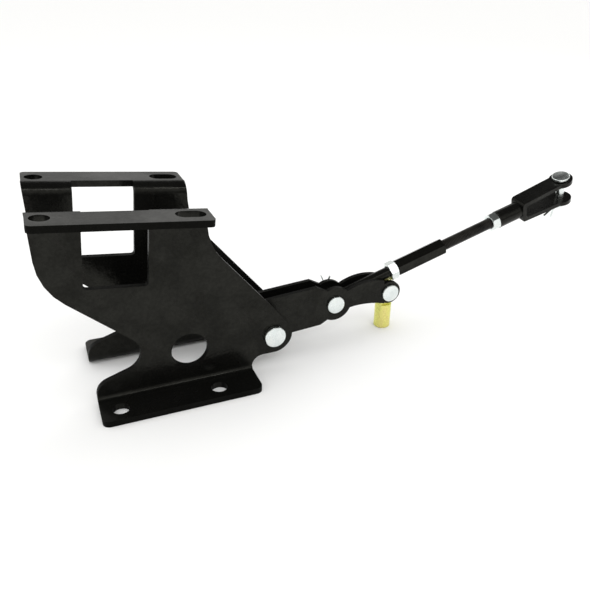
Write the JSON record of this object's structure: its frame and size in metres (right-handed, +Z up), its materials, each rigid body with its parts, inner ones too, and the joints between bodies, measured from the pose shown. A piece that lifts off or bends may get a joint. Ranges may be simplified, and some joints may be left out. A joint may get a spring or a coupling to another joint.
{
  "type": "quick coupler",
  "caption": "Bolt-on quick coupler bracket with two bent side plates, a pivoting two-plate lever, a hanging barrel and an adjustable tie rod with clevis.",
  "frame": {"origin": "on the ground, under the middle of the whole object", "axes": "+X from the bracket to the clevis, +Y to the left, away from the heads of the pins, +Z up"},
  "size_m": [0.7782, 0.195, 0.2543],
  "materials": {
    "black_paint": "gloss black powder paint",
    "black_thread": "black rolled thread, satin",
    "bright_zinc": "bright blue-white zinc plating",
    "yellow_zinc": "yellow chromate over zinc"
  },
  "bodies": {
    "bracket": {"side_plate_right": "black_paint", "side_plate_left": "black_paint", "spacer_right": "bright_zinc", "spacer_left": "bright_zinc", "pivot_pin": "bright_zinc", "pivot_washer": "bright_zinc", "pivot_cotter": "bright_zinc"},
    "lever": {"lever_plate_right": "black_paint", "lever_plate_left": "black_paint", "lever_hub": "bright_zinc", "rod_pin": "bright_zinc", "rod_pin_washer": "bright_zinc", "rod_pin_cotter": "bright_zinc", "barrel_pin": "bright_zinc", "barrel_pin_washer": "bright_zinc", "barrel_pin_cotter": "bright_zinc"},
    "barrel": {"barrel": "yellow_zinc"},
    "tie_rod": {"rod_eye": "black_paint", "jam_nut_inner": "bright_zinc"},
    "coupling": {"coupling": "black_paint"},
    "clevis_end": {"threaded_rod": "black_thread", "jam_nut_outer": "bright_zinc", "clevis": "black_paint", "clevis_pin": "bright_zinc", "clevis_washer": "bright_zinc", "clevis_cotter": "bright_zinc"}
  },
  "joints": [
    {"name": "lever_pivot", "type": "hinge", "parent": "bracket", "child": "lever", "pos_m": [-0.11961, 0, 0.0505], "axis": [0, -1, 0], "range_deg": [-20, 75]},
    {"name": "barrel_pivot", "type": "hinge", "parent": "lever", "child": "barrel", "pos_m": [0.07096, 0, 0.06091], "axis": [0, -1, 0], "range_deg": [-30, 70]},
    {"name": "tie_rod_pivot", "type": "hinge", "parent": "lever", "child": "tie_rod", "pos_m": [-0.01521, 0, 0.05835], "axis": [0, -1, 0], "range_deg": [0, 110]},
    {"name": "coupling_turn", "type": "hinge", "parent": "tie_rod", "child": "coupling", "pos_m": [-0.01521, 0, 0.05835], "axis": [0.9553, 0, 0.2957], "range_deg": [-720, 720]},
    {"name": "rod_extend", "type": "slide", "parent": "tie_rod", "child": "clevis_end", "axis": [0.9553, 0, 0.2957], "range_m": [-0.00923, 0.00923]}
  ],
  "couplings": [
    {"joint": "coupling_turn", "follows": "rod_extend", "rad_per_m": 1360.5}
  ]
}
